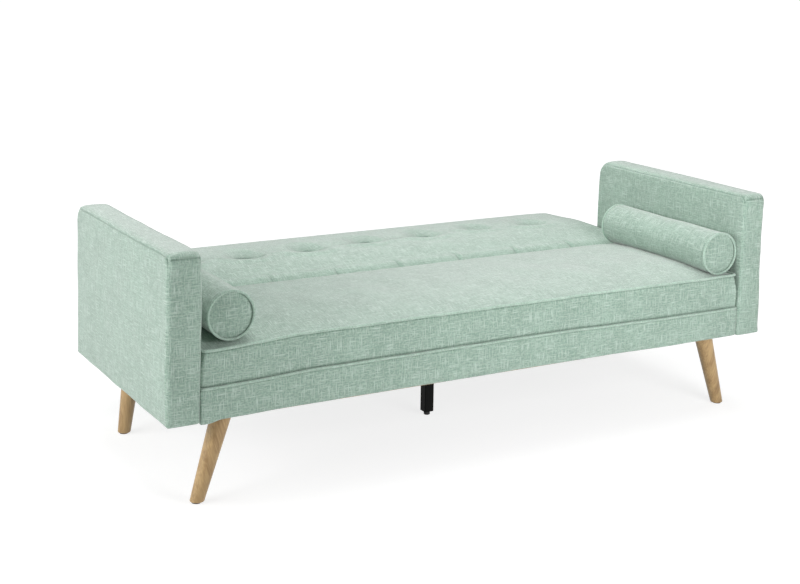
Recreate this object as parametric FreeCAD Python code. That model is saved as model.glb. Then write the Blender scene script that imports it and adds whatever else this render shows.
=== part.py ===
"""Click clack sofa bed with its back folded flat.

Millimetres. X runs along the sofa, Y from front to back, Z up. The origin is on the floor at the
middle of the whole piece as it stands open as a bed.
"""
import FreeCAD, Part
import math
import os

os.makedirs("parts", exist_ok=True)

# Overall sizes
overall_width = 1860.0
overall_depth = 990.0
arm_thickness = 87.0
arm_depth = 690.0
arm_height = 637.0
underside = 220.0
seam_height = 306.0
welt_height = 400.0
seat_depth = 498.0
band_setback = 9.0

# Arms
arm_lean = 20.0
arm_front_undercut = 5.0
arm_corner_radius = 28.0
arm_low_corner_radius = 8.0
arm_edge_radius = 6.0
arm_wall = 8.0
panel_thickness = 18.0
spacer_thickness = 48.0
spacer_width = 45.0

# Seat and back cushions
seat_crown = 31.0
seat_face_bulge = 4.0
back_thickness = 124.0
back_crown = 12.0
fold_gap = 1.0
arm_gap = 2.0
back_side_gap = 14.0
tuft_count = 7
tuft_pitch = 207.0
tuft_y = 325.0
tuft_depth = 15.0
tuft_radius = 66.0

# Loose bolsters
bolster_radius = 62.5
bolster_length = 486.0
bolster_axis_height = 471.0
bolster_dent_gap = 0.6
bolster_arm_gap = 0.6
bolster_flat_end = 50.0
bolster_rim = 12.0

# Wooden frame
rail_thickness = 25.0
rail_bottom = 222.0
rail_top = 298.0
band_wall = 8.0
centre_rail_height = 34.0
block_length = 100.0
block_height = 40.0
front_block_depth = 70.0
rear_block_depth = 95.0
batten_width = 35.0
batten_height = 24.0
spring_wire = 3.8
spring_run = 13.0
clip_height = 6.0
pad_thickness = 2.0

# Legs
leg_top_radius = 26.0
leg_foot_radius = 17.5
glide_height = 3.0
glide_radius = 12.0
centre_leg_y = -126.0
centre_leg_half = 15.0
centre_leg_foot = 12.0
centre_flange_half = 32.0
centre_flange = 4.0

# Bolts, tee nuts and screws
bolt_radius = 4.0
bolt_hole_radius = 4.5
thread_gap = 0.05
nut_barrel_radius = 5.8
nut_barrel_length = 10.0
nut_hole_radius = 6.0
screw_radius = 2.0
screw_head_radius = 4.4
back_screw_length = 32.0

# Folding hinge: plates stand side by side in the gap next to each arm
pivot_radius = back_thickness / 2
plate = 3.0
washer = 1.0
pin_radius = 6.0
pin_head_radius = 9.0
pin_head = 2.6
pin_clearance = 0.05
hub_radius = 30.0
notch_depth = 7.0
back_positions = (0.0, 25.0, 50.0, 75.0)
notch_angle = -112.0
pawl_release = 17.0
pawl_gap = 1.4
pawl_arm = 7.0
pawl_eye_radius = 7.0
pawl_pin_radius = 4.0
pawl_pin_head = 2.2
flange_front = 55.0
flange_rear = 75.0

# Places worked out from the sizes
half_width = overall_width / 2
arm_inside = half_width - arm_thickness
front = -overall_depth / 2
arm_rear = front + arm_depth
band_face = front + band_setback
seat_rear = band_face + seat_depth
back_front = seat_rear + fold_gap
back_rear = overall_depth / 2
back_bottom = seam_height - 3.0
pivot_y = back_front + pivot_radius
pivot_z = back_bottom + pivot_radius
seat_half = arm_inside - arm_gap
back_half = arm_inside - back_side_gap
rail_front = band_face + band_wall
rail_back_of_front = rail_front + rail_thickness
rear_rail_y = arm_rear - 30.0
side_rail_x = arm_inside - rail_thickness
cross_rail_y = seat_rear - 42.0
frame_half = back_half - 3.0
frame_near = pivot_y - 15.0
frame_far = back_rear - 12.0
frame_bottom = seam_height
frame_top = frame_bottom + batten_height
cavity_top = frame_top + clip_height + pad_thickness
hinge_inner = arm_inside - 10.4
hinge_seat_x = hinge_inner + plate + washer
pawl_y = pivot_y - 42.0
pawl_z = pivot_z - 15.0


def vector(x, y, z):
    return FreeCAD.Vector(x, y, z)


def box(x0, x1, y0, y1, z0, z1):
    return Part.makeBox(x1 - x0, y1 - y0, z1 - z0, vector(x0, y0, z0))


def rod(start, end, radius):
    """A round bar from one point to another."""
    run = end - start
    return Part.makeCylinder(radius, run.Length, start, run)


def cone(start, end, start_radius, end_radius):
    run = end - start
    return Part.makeCone(start_radius, end_radius, run.Length, start, run)


def mirrored(shape):
    """The same piece on the other side of the sofa, which is drawn on the right."""
    return shape.mirror(vector(0, 0, 0), vector(1, 0, 0))


def save(name, *solids):
    """Writes one named piece, or one group of like pieces."""
    shape = solids[0] if len(solids) == 1 else Part.makeCompound(list(solids))
    shape.exportStep("parts/" + name + ".step")
    print(name, len(shape.Solids), round(shape.Volume / 1e6, 4), "litres", shape.isValid())


def save_pair(name, right):
    save(name + "_right", right)
    save(name + "_left", mirrored(right))


def side_prism(points, x0, x1):
    """A flat outline in the Y-Z plane, drawn out along X."""
    outline = Part.makePolygon([vector(x0, y, z) for y, z in points + points[:1]])
    return Part.Face(outline).extrude(vector(x1 - x0, 0, 0))


def closed_section(x, steps):
    """Lines and arcs in the Y-Z plane. A step is a (y, z) corner, or a pair of them for an arc."""
    here = vector(x, *steps[0])
    first = here
    edges = []
    for step in steps[1:] + [steps[0]]:
        arc = isinstance(step[0], tuple)
        there = vector(x, *(step[1] if arc else step))
        if arc:
            edges.append(Part.Arc(here, vector(x, *step[0]), there).toShape())
        else:
            edges.append(Part.LineSegment(here, there).toShape())
        here = there
    assert here.isEqual(first, 1e-6)
    return Part.Wire(edges)


def symmetric_loft(sections):
    """A cushion through sections listed from its end to its middle, and back to the other end."""
    stations = [(-x, shape) for x, shape in sections]
    stations += [(x, shape) for x, shape in reversed(sections) if x > 0]
    wires = [closed_section(x, shape) for x, shape in stations]
    return Part.makeLoft(wires, True, True)


# Wooden base frame

def base_frame():
    save("front_rail", box(-arm_inside, arm_inside, rail_front, rail_back_of_front,
                           rail_bottom, rail_top))
    save("rear_rail", box(-arm_inside, arm_inside, rear_rail_y, rear_rail_y + rail_thickness,
                          rail_bottom, rail_top))
    centre_top = rail_bottom + centre_rail_height
    centre_rail = box(-20, 20, rail_back_of_front, rear_rail_y, rail_bottom, centre_top)
    for screw in centre_leg_screws():
        centre_rail = centre_rail.cut(screw)
    save("centre_rail", centre_rail)
    save("seat_cross_rail", box(-side_rail_x, side_rail_x, cross_rail_y,
                                cross_rail_y + rail_thickness, centre_top, rail_top))


def arm_bolt_places():
    """Three bolts through each side rail into the arm."""
    return [(y, 270.0) for y in (-350.0, -155.0, 40.0)]


def side_rails():
    rail = box(side_rail_x, arm_inside, rail_back_of_front, rear_rail_y, rail_bottom, rail_top)
    for y, z in arm_bolt_places():
        rail = rail.cut(rod(vector(side_rail_x - 1, y, z), vector(arm_inside + 1, y, z),
                            bolt_hole_radius))
    for y in hinge_screw_ys():
        rail = rail.cut(wood_screw(vector(hinge_screw_x(), y, rail_top + plate), vector(0, 0, -1)))
    save_pair("side_rail", rail)


def leg_places():
    """Top centre and foot centre of each right-hand leg."""
    return {"leg_front": (vector(765, -430, underside), vector(833, -430, 0)),
            "leg_rear": (vector(805, 108, underside), vector(830, 123, 0))}


def corner_blocks():
    blocks = []
    for name, (top, foot) in leg_places().items():
        if name == "leg_front":
            y0, y1 = rail_back_of_front, rail_back_of_front + front_block_depth
        else:
            y0, y1 = rear_rail_y - rear_block_depth, rear_rail_y
        block = box(side_rail_x - block_length, side_rail_x, y0, y1,
                    underside, underside + block_height)
        above = top + vector(0, 0, block_height + 1)
        hole = rod(top - vector(0, 0, 1), above, bolt_hole_radius)
        nut_seat = rod(above - vector(0, 0, nut_barrel_length + 2), above, nut_hole_radius)
        block = block.cut(hole.fuse(nut_seat))
        blocks += [block, mirrored(block)]
    save("corner_blocks", *blocks)


# Fabric-covered bands on the front and rear rails, and the sheet under the frame

def bands():
    outer = box(-arm_inside, arm_inside, band_face, rail_front + 10, underside, seam_height)
    outer = outer.makeFillet(6.0, [e for e in outer.Edges if on_line(e, band_face, underside)])
    rail = box(-half_width, half_width, rail_front, rail_front + 12, rail_bottom, rail_top)
    save("front_band", outer.cut(rail))
    outer = box(-arm_inside, arm_inside, arm_rear - 18, arm_rear, underside, rail_top + 3)
    rail = box(-half_width, half_width, rear_rail_y, rear_rail_y + rail_thickness,
               rail_bottom, rail_top)
    save("rear_band", outer.cut(rail))


def on_line(edge, y, z):
    """True for an edge along X at this y and z."""
    return all(abs(v.Y - y) < 1e-6 and abs(v.Z - z) < 1e-6 for v in edge.Vertexes)


def dust_cover():
    sheet = box(-side_rail_x - 8, side_rail_x + 8, rail_front + 12, rear_rail_y + 8,
                rail_bottom - 1, rail_bottom)
    for side in (-1, 1):
        for y0, y1 in ((rail_front, rail_back_of_front + 72), (rear_rail_y - 97, rear_rail_y + 9)):
            x0, x1 = sorted((side * (side_rail_x - 102), side * (side_rail_x + 9)))
            sheet = sheet.cut(box(x0, x1, y0, y1, underside, rail_top))
    sheet = sheet.cut(box(-34, 34, centre_leg_y - 34, centre_leg_y + 34, underside, rail_top))
    save("dust_cover", sheet)


# Springs

def sinuous_spring(x, y0, y1, z, bends):
    """A flat zigzag wire: straight runs along X joined by half-round bends."""
    bend = (y1 - y0) / bends / 2
    run = spring_run
    edges = []
    side = 1
    for i in range(bends + 1):
        y = y0 + 2 * bend * i
        start = vector(x - side * run, y, z)
        end = vector(x + side * run, y, z)
        edges.append(Part.LineSegment(start, end).toShape())
        if i < bends:
            tip = vector(x + side * (run + bend), y + bend, z)
            after = vector(x + side * run, y + 2 * bend, z)
            edges.append(Part.Arc(end, tip, after).toShape())
        side = -side
    ring = Part.Wire(Part.makeCircle(spring_wire / 2, vector(x - run, y0, z), vector(1, 0, 0)))
    return Part.Wire(edges).makePipeShell([ring], True, False)


def spring_set(name, xs, y0, y1, rail_z, bends):
    """Zigzag springs and the clips that hold their two end runs on the rails."""
    z = rail_z + clip_height / 2
    save(name + "_springs", *[sinuous_spring(x, y0, y1, z, bends) for x in xs])
    clips = []
    for x in xs:
        for y in (y0, y1):
            clip = box(x - 8, x + 8, y - 6, y + 6, rail_z, rail_z + clip_height)
            clips.append(clip.cut(rod(vector(x - 9, y, z), vector(x + 9, y, z),
                                      spring_wire / 2 + 0.1)))
    save(name + "_spring_clips", *clips)


def seat_suspension():
    xs = [205.0 * (i - 3.5) for i in range(8)]
    front_clip = rail_back_of_front - 7.0
    rear_clip = cross_rail_y + rail_thickness / 2
    spring_set("seat", xs, front_clip, rear_clip, rail_top, 20)
    save("seat_spring_pad", box(-side_rail_x, side_rail_x, rail_front + 12, seat_rear - 10,
                                rail_top + clip_height, seam_height))


# Seat cushion: front face between two welts, crowned top, rolled rear edge

def seat_section(drawn_in, crown):
    face = band_face + drawn_in
    middle = (band_face + seat_rear) / 2 - 20
    shoulder = welt_height + 0.55 * crown
    edge = face + seat_face_bulge
    return [(edge, seam_height),
            ((face, (seam_height + welt_height) / 2), (edge, welt_height)),
            ((middle, welt_height + crown), (seat_rear - 34, shoulder)),
            ((seat_rear - 9, shoulder - 12), (seat_rear, shoulder - 40)),
            (seat_rear, seam_height)]


def bolster_places():
    """Axis x and front-end y of each bolster: one leans on its arm, one stands a hand off it."""
    return {"bolster_right": (arm_inside - bolster_radius - bolster_arm_gap, -472.0),
            "bolster_left": (-752.0, -466.0)}


def seat_cushion():
    cushion = symmetric_loft([(seat_half, seat_section(5.0, 6.0)),
                              (seat_half - 8, seat_section(2.0, 13.0)),
                              (seat_half - 40, seat_section(0.0, 21.0)),
                              (seat_half - 140, seat_section(0.0, seat_crown - 2)),
                              (0.0, seat_section(0.0, seat_crown))])
    for x, y in bolster_places().values():
        dent = rod(vector(x, front - 20, bolster_axis_height),
                   vector(x, seat_rear + 20, bolster_axis_height),
                   bolster_radius + bolster_dent_gap)
        cushion = cushion.cut(dent)
    save("seat_cushion", cushion)


# Arms: plywood panel and spacer frame inside a padded cover

def arm_outline():
    return [(front + arm_front_undercut, underside), (arm_rear + arm_lean, underside),
            (arm_rear, arm_height), (front, arm_height)]


def across_edges(body, low):
    """The arm's edges along X, either the two on its underside or the two on its top."""
    edges = [e for e in body.Edges if abs(e.Vertexes[0].X - e.Vertexes[-1].X) > 1]
    return [e for e in edges if (e.Vertexes[0].Z < underside + 1) == low]


def arm_body():
    body = side_prism(arm_outline(), arm_inside, half_width)
    body = body.makeFillet(arm_corner_radius, across_edges(body, False))
    body = body.makeFillet(arm_low_corner_radius, across_edges(body, True))
    rims = [e for e in body.Edges if all(abs(v.X - arm_inside) < 1e-6 for v in e.Vertexes)
            or all(abs(v.X - half_width) < 1e-6 for v in e.Vertexes)]
    return body.makeFillet(arm_edge_radius, rims)


def tee_nut(face, out, flange_radius, flange):
    """A nut whose barrel stands in the wood and whose flange lies on it. out leaves the wood."""
    barrel = rod(face - out * nut_barrel_length, face, nut_barrel_radius)
    rim = rod(face, face + out * flange, flange_radius)
    bore = rod(face - out * (nut_barrel_length + 1), face + out * (flange + 1),
               bolt_radius + thread_gap)
    return barrel.fuse(rim).cut(bore)


def arms():
    panel_x = arm_inside + arm_wall
    spacer_x = panel_x + panel_thickness
    spacer_end = spacer_x + spacer_thickness
    y0, y1, z0, z1 = front + 15, arm_rear - 12, underside + arm_wall, arm_height - 10
    cover = arm_body().cut(box(panel_x, spacer_end, y0, y1, z0, z1))
    panel = box(panel_x, spacer_x, y0, y1, z0, z1)
    spacer = box(spacer_x, spacer_end, y0, y1, z0, z1)
    spacer = spacer.cut(box(spacer_x, spacer_end, y0 + spacer_width, y1 - spacer_width,
                            z0 + spacer_width, z1 - spacer_width))
    bolts = []
    nuts = []
    for y, z in arm_bolt_places():
        seat = vector(side_rail_x, y, z)
        nut_face = vector(spacer_x, y, z)
        hole = rod(seat, nut_face, bolt_hole_radius)
        cover = cover.cut(hole)
        nut_hole = rod(nut_face - vector(nut_barrel_length + 1, 0, 0), nut_face, nut_hole_radius)
        panel = panel.cut(hole.fuse(nut_hole))
        spacer = spacer.cut(rod(nut_face, nut_face + vector(2, 0, 0), 10.5))
        shank = rod(seat, nut_face + vector(1, 0, 0), bolt_radius)
        head = rod(seat - vector(5.5, 0, 0), seat, 7.0)
        bolts.append(shank.fuse(head))
        nuts.append(tee_nut(nut_face, vector(1, 0, 0), 10.0, 1.5))
    save_pair("arm_cover", cover)
    save_pair("arm_panel", panel)
    save_pair("arm_spacer", spacer)
    save("arm_bolts", *(bolts + [mirrored(b) for b in bolts]))
    save("arm_tee_nuts", *(nuts + [mirrored(n) for n in nuts]))


# Legs: tapered turned wood that leans outwards, on a vertical hanger bolt

def leg(top, foot):
    axis = top - foot
    start = foot - axis * 0.1
    end = top + axis * 0.1
    taper = leg_top_radius - leg_foot_radius
    body = cone(start, end, leg_foot_radius - 0.1 * taper, leg_top_radius + 0.1 * taper)
    slab = box(foot.x - 200, foot.x + 200, foot.y - 200, foot.y + 200, glide_height, underside)
    body = body.common(slab)
    rim = [e for e in body.Edges if all(abs(v.Z - glide_height) < 1e-6 for v in e.Vertexes)]
    body = body.makeFillet(3.0, rim)
    return body.cut(rod(top - vector(0, 0, 41), top + vector(0, 0, 1), bolt_radius + thread_gap))


def legs():
    bolts = []
    nuts = []
    glides = []
    for name, (top, foot) in leg_places().items():
        right = leg(top, foot)
        save_pair(name, right)
        bolts.append(rod(top - vector(0, 0, 40), top + vector(0, 0, 50), bolt_radius))
        nuts.append(tee_nut(top + vector(0, 0, block_height), vector(0, 0, 1), 11.0, 2.0))
        glides.append(rod(foot, foot + vector(0, 0, glide_height), glide_radius))
    save("leg_bolts", *(bolts + [mirrored(b) for b in bolts]))
    save("leg_tee_nuts", *(nuts + [mirrored(n) for n in nuts]))
    save("leg_glides", *(glides + [mirrored(g) for g in glides]))


# Centre leg: square moulding with a flange and a round foot

def centre_leg_screws():
    """Four screws up through the flange into the centre rail."""
    corners = [(x, centre_leg_y + dy) for x in (-15, 15) for dy in (-24, 24)]
    return [wood_screw(vector(x, y, rail_bottom - centre_flange), vector(0, 0, 1), 20.0)
            for x, y in corners]


def centre_leg():
    half = centre_leg_half
    wide = centre_flange_half
    flange = box(-wide, wide, centre_leg_y - wide, centre_leg_y + wide,
                 rail_bottom - centre_flange, rail_bottom)
    post = box(-half, half, centre_leg_y - half, centre_leg_y + half,
               centre_leg_foot, rail_bottom - 2)
    post = post.makeChamfer(3.0, [e for e in post.Edges if e.Length > 100])
    body = flange.fuse(post).removeSplitter()
    for screw in centre_leg_screws():
        body = body.cut(screw)
    stem = rod(vector(0, centre_leg_y, centre_leg_foot), vector(0, centre_leg_y, 40), 5.0)
    body = body.cut(stem)
    foot = rod(vector(0, centre_leg_y, 0), vector(0, centre_leg_y, centre_leg_foot), 9.0)
    foot = foot.makeFillet(2.5, [e for e in foot.Edges if abs(e.BoundBox.ZMax) < 1e-3])
    save("centre_leg", body)
    save("centre_leg_foot", foot.fuse(stem).removeSplitter())
    save("centre_leg_screws", *centre_leg_screws())


def wood_screw(head_centre, along, length=22.0):
    """A countersunk screw whose head lies flush at head_centre."""
    neck = head_centre + along * 2.4
    end = head_centre + along * length
    head = cone(head_centre, neck, screw_head_radius, screw_radius)
    return head.fuse(rod(neck, end, screw_radius)).removeSplitter()


# Folding hinge

def hinge_screw_x():
    return side_rail_x + 9.0


def hinge_screw_ys():
    return [pivot_y - 42, pivot_y + 8, pivot_y + 58]


def polar(radius, degrees):
    """A point at this radius and angle from the hinge pivot, in the Y-Z plane."""
    angle = math.radians(degrees)
    return pivot_y + radius * math.cos(angle), pivot_z + radius * math.sin(angle)


def swung_clear(y, z):
    """Where a point of the locked pawl lies once the pawl has swung clear of the hub."""
    turn = math.radians(-pawl_release)
    dy, dz = y - pawl_y, z - pawl_z
    return (pawl_y + dy * math.cos(turn) - dz * math.sin(turn),
            pawl_z + dy * math.sin(turn) + dz * math.cos(turn))


def hinge_seat_plate():
    """The fixed plate: a flange screwed on the side rail, a cheek at the pivot and a stop tab."""
    x0, x1 = hinge_seat_x, hinge_seat_x + plate
    y0, y1 = pivot_y - flange_front, pivot_y + flange_rear
    cheek = side_prism([(y0, rail_top), (y1, rail_top), (y1, rail_top + 22),
                        (pivot_y + 22, pivot_z + 8), (pivot_y + 12, pivot_z + 20),
                        (pivot_y - 12, pivot_z + 20), (pawl_y - 6, pawl_z + 17),
                        (y0, pawl_z + 5)], x0, x1)
    flange = box(side_rail_x, x0, y0, y1, rail_top, rail_top + plate)
    tab = box(x0 - 5, x0, pivot_y + 63, pivot_y + 71, rail_top + plate, back_bottom + 4.9)
    body = cheek.fuse(flange).fuse(tab).removeSplitter()
    pivot_hole = rod(vector(x0 - 1, pivot_y, pivot_z), vector(x1 + 1, pivot_y, pivot_z),
                     pin_radius + pin_clearance)
    pawl_hole = rod(vector(x0 - 1, pawl_y, pawl_z), vector(x1 + 1, pawl_y, pawl_z),
                    pawl_pin_radius + pin_clearance)
    body = body.cut(pivot_hole).cut(pawl_hole)
    for y in hinge_screw_ys():
        head = vector(hinge_screw_x(), y, rail_top + plate)
        body = body.cut(wood_screw(head, vector(0, 0, -1)))
    return body


def notched_hub():
    """The hub disc with one notch for each place where the back can stand."""
    x0, x1 = hinge_inner, hinge_inner + plate
    hub = rod(vector(x0, pivot_y, pivot_z), vector(x1, pivot_y, pivot_z), hub_radius)
    for turn in back_positions:
        angle = notch_angle - turn
        corners = [polar(hub_radius + 3, angle - 10), polar(hub_radius - notch_depth, angle - 4.5),
                   polar(hub_radius - notch_depth, angle + 3.8), polar(hub_radius + 3, angle + 7.5)]
        hub = hub.cut(side_prism(corners, x0 - 1, x1 + 1))
    return hub


def back_screw_places():
    return [(pivot_y + dy, frame_bottom + 12.0) for dy in (52.0, 100.0, 148.0)]


def back_screws():
    return [wood_screw(vector(hinge_inner + plate, y, z), vector(-1, 0, 0), back_screw_length)
            for y, z in back_screw_places()]


def hinge_back_plate():
    """The swinging plate: notched hub, arm, and a raised pad screwed to the back's side rail."""
    x0, x1 = hinge_inner, hinge_inner + plate
    low, high = frame_bottom + 2, frame_bottom + 22
    arm = side_prism([(pivot_y + 17, pivot_z - 20), (pivot_y + 36, low), (pivot_y + 162, low),
                      (pivot_y + 162, high), (pivot_y + 60, high + 8),
                      (pivot_y + 24, pivot_z + 9)], x0, x1)
    pad = box(back_half, x0, pivot_y + 40, pivot_y + 160, low, high)
    body = notched_hub().fuse(arm).fuse(pad).removeSplitter()
    body = body.cut(rod(vector(x0 - 1, pivot_y, pivot_z), vector(x1 + 1, pivot_y, pivot_z),
                        pin_radius + pin_clearance))
    for screw in back_screws():
        body = body.cut(screw)
    return body


def hinge_pin():
    """A shouldered rivet through both plates, with a head on each side."""
    centre = vector(0, pivot_y, pivot_z)
    x_in = vector(hinge_inner, 0, 0)
    x_out = vector(hinge_seat_x + plate, 0, 0)
    shank = rod(centre + x_in, centre + x_out, pin_radius)
    inner = rod(centre + x_in - vector(pin_head, 0, 0), centre + x_in, pin_head_radius)
    outer = rod(centre + x_out, centre + x_out + vector(pin_head, 0, 0), pin_head_radius)
    return shank.fuse(inner).fuse(outer).removeSplitter()


def hinge_washer():
    x0 = vector(hinge_inner + plate, pivot_y, pivot_z)
    x1 = vector(hinge_seat_x, pivot_y, pivot_z)
    return rod(x0, x1, 11.0).cut(rod(x0, x1, pin_radius + pin_clearance))


def pawl():
    """The hooked lever that drops into a notch. It is drawn swung clear of the hub."""
    x0, x1 = hinge_inner, hinge_inner + plate
    near = hub_radius + pawl_gap
    far = near + pawl_arm
    tip = hub_radius - notch_depth + 1.2
    outline = [(pawl_y, pawl_z), polar(near, notch_angle - 38), polar(near, notch_angle - 22),
               polar(near, notch_angle - 7), polar(tip, notch_angle - 3),
               polar(tip, notch_angle + 2.5), polar(near, notch_angle + 5),
               polar(far, notch_angle + 3), polar(far, notch_angle - 22),
               (pawl_y - 2, pawl_z - pawl_eye_radius + 0.3)]
    hook = side_prism([swung_clear(y, z) for y, z in outline], x0, x1)
    eye = rod(vector(x0, pawl_y, pawl_z), vector(x1, pawl_y, pawl_z), pawl_eye_radius)
    bore = rod(vector(x0 - 1, pawl_y, pawl_z), vector(x1 + 1, pawl_y, pawl_z),
               pawl_pin_radius + pin_clearance)
    return hook.fuse(eye).removeSplitter().cut(bore)


def pawl_pin():
    centre = vector(0, pawl_y, pawl_z)
    x_in = vector(hinge_inner, 0, 0)
    x_out = vector(hinge_seat_x + plate, 0, 0)
    shank = rod(centre + x_in, centre + x_out, pawl_pin_radius)
    head = rod(centre + x_in - vector(pawl_pin_head, 0, 0), centre + x_in, 6.0)
    shoulder = rod(centre + vector(hinge_inner + plate, 0, 0), centre + vector(hinge_seat_x, 0, 0),
                   6.0)
    return shank.fuse(head).fuse(shoulder).removeSplitter()


def pawl_spring():
    """A leaf that bears up under the pawl's nose. Its root stands on the fixed plate's flange."""
    x0, x1 = hinge_inner + 0.5, hinge_inner + plate - 0.5
    leaf = 1.0
    root_y = pawl_y + 33
    root_z = rail_top + plate
    under_nose = hub_radius + pawl_gap + pawl_arm + 0.8
    tip_y, tip_z = swung_clear(*polar(under_nose, notch_angle + 3))
    return side_prism([(root_y, root_z), (root_y + 14, root_z), (root_y + 14, root_z + leaf),
                       (root_y + 1.5, root_z + leaf), (tip_y, tip_z), (tip_y - leaf, tip_z - 0.6)],
                      x0, x1)


def hinges():
    save_pair("hinge_seat_plate", hinge_seat_plate())
    save_pair("hinge_back_plate", hinge_back_plate())
    save_pair("hinge_pin", hinge_pin())
    save_pair("pawl", pawl())
    groups = {"hinge_washers": [hinge_washer()], "pawl_pins": [pawl_pin()],
              "pawl_springs": [pawl_spring()],
              "hinge_seat_screws": [wood_screw(vector(hinge_screw_x(), y, rail_top + plate),
                                               vector(0, 0, -1)) for y in hinge_screw_ys()],
              "hinge_back_screws": back_screws()}
    for name, right in groups.items():
        save(name, *(right + [mirrored(piece) for piece in right]))


# Back: wooden frame, springs, tufted cushion with a round nose at the hinge, lining below

def back_frame():
    save("back_lower_rail", box(-frame_half, frame_half, frame_near, frame_near + batten_width,
                                frame_bottom, frame_top))
    save("back_upper_rail", box(-frame_half, frame_half, frame_far - batten_width, frame_far,
                                frame_bottom, frame_top))
    side = box(frame_half - 30, frame_half, frame_near + batten_width, frame_far - batten_width,
               frame_bottom, frame_top)
    for screw in back_screws():
        side = side.cut(screw)
    save_pair("back_side_rail", side)
    stile = box(255, 295, frame_near + batten_width, frame_far - batten_width,
                frame_bottom, frame_top - 8)
    save("back_stiles", stile, mirrored(stile))


def tuft_xs():
    return [tuft_pitch * (i - (tuft_count - 1) / 2) for i in range(tuft_count)]


def back_suspension():
    spring_set("back", [x + 30 for x in tuft_xs()], frame_near + 12, frame_far - 12, frame_top, 18)
    save("back_spring_pad", box(-frame_half, frame_half, frame_near, frame_far,
                                cavity_top - pad_thickness, cavity_top))


def back_section(drawn_in, crown):
    radius = pivot_radius - drawn_in
    diagonal = radius * math.sqrt(0.5)
    top = pivot_z + radius
    far = back_rear - drawn_in
    shoulder = top - 7 + 0.3 * crown
    return [(pivot_y, back_bottom + drawn_in),
            ((pivot_y - diagonal, pivot_z - diagonal), (pivot_y - radius, pivot_z)),
            ((pivot_y - diagonal, pivot_z + diagonal), (pivot_y, top)),
            ((pivot_y + 190, top + crown), (far - 36, shoulder)),
            ((far - 10, shoulder - 12), (far, shoulder - 42)),
            (far, back_bottom + 8),
            ((far - 2, back_bottom + 2 + drawn_in / 2), (far - 8, back_bottom + drawn_in))]


def back_cushion():
    cushion = symmetric_loft([(back_half, back_section(2.8, 1.0)),
                              (back_half - 8, back_section(1.0, 4.0)),
                              (back_half - 40, back_section(0.0, 8.0)),
                              (back_half - 140, back_section(0.0, back_crown - 1)),
                              (0.0, back_section(0.0, back_crown))])
    cushion = cushion.cut(box(-frame_half, frame_half, frame_near, frame_far,
                              frame_bottom, cavity_top))
    cushion = cushion.cut(box(-frame_half, frame_half, pivot_y, frame_far,
                              back_bottom - 1, frame_bottom))
    tuft_floor = pivot_z + pivot_radius + back_crown - tuft_depth
    ties = []
    for x in tuft_xs():
        cushion = cushion.cut(Part.makeSphere(tuft_radius,
                                              vector(x, tuft_y, tuft_floor + tuft_radius)))
        tie = rod(vector(x, tuft_y, cavity_top), vector(x, tuft_y, tuft_floor + 1.5), 1.2)
        knot = rod(vector(x, tuft_y, tuft_floor + 0.2), vector(x, tuft_y, tuft_floor + 1.5), 4.0)
        cushion = cushion.cut(rod(vector(x, tuft_y, cavity_top - 1),
                                  vector(x, tuft_y, tuft_floor + 1), 1.25))
        ties.append(tie.fuse(knot).removeSplitter())
    for screw in back_screws():
        cushion = cushion.cut(screw).cut(mirrored(screw))
    save("back_cushion", cushion)
    save("tuft_ties", *ties)
    save("back_lining", box(-frame_half, frame_half, pivot_y, frame_far, back_bottom, frame_bottom))


# Bolsters: round pillows with flat ends and rounded rims

def bolster(x, y):
    length = bolster_length
    radius = bolster_radius
    inset = 3.5
    points = [(0, 0), (bolster_flat_end, 0),
              ((radius - inset, inset), (radius, bolster_rim)), (radius, length - bolster_rim),
              ((radius - inset, length - inset), (bolster_flat_end, length)), (0, length)]
    edges = []
    here = vector(0, 0, 0)
    for step in points[1:]:
        arc = isinstance(step[0], tuple)
        there = vector(step[1][0], step[1][1], 0) if arc else vector(step[0], step[1], 0)
        if arc:
            edges.append(Part.Arc(here, vector(*step[0], 0), there).toShape())
        else:
            edges.append(Part.LineSegment(here, there).toShape())
        here = there
    edges.append(Part.LineSegment(here, vector(0, 0, 0)).toShape())
    body = Part.Face(Part.Wire(edges)).revolve(vector(0, 0, 0), vector(0, 1, 0), 360)
    body.translate(vector(x, y, bolster_axis_height))
    return body


def bolsters():
    for name, (x, y) in bolster_places().items():
        save(name, bolster(x, y))


base_frame()
side_rails()
corner_blocks()
bands()
dust_cover()
seat_suspension()
seat_cushion()
arms()
legs()
centre_leg()
hinges()
back_frame()
back_suspension()
back_cushion()
bolsters()
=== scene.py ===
"""A click clack sofa bed in mint linen, standing open as a bed on a white studio floor.

Metres, in the CAD frame: X along the sofa, Y from the seat's front to the far edge of the back, Z up.
"""
import math

import bpy
import numpy as np
from mathutils import Matrix, Vector


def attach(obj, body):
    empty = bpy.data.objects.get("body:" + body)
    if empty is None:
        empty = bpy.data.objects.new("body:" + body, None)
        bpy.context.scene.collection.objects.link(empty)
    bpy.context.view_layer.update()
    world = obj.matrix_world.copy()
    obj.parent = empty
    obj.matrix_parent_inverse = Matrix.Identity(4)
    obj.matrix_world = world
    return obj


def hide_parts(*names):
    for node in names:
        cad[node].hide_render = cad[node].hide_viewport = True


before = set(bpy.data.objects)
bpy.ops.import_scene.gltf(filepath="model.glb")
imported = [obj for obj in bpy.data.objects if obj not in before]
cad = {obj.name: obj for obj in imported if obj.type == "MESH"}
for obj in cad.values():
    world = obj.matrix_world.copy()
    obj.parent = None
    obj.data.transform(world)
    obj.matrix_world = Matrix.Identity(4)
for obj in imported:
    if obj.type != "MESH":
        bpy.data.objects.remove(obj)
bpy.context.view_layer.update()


# Camera. It stands to the left of the sofa's front, 1.4 m up, and looks down along it.
# A little of the view's height comes from lens shift, so that upright edges stay nearly upright.
camera_place = Vector((-2.0657, -3.6020, 1.4001))
camera_yaw = math.radians(-29.471)
camera_pitch = math.radians(9.241)
camera_roll = math.radians(0.810)
photo_width = 800
focal_pixels = 1447.73
shift_pixels = -130

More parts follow.
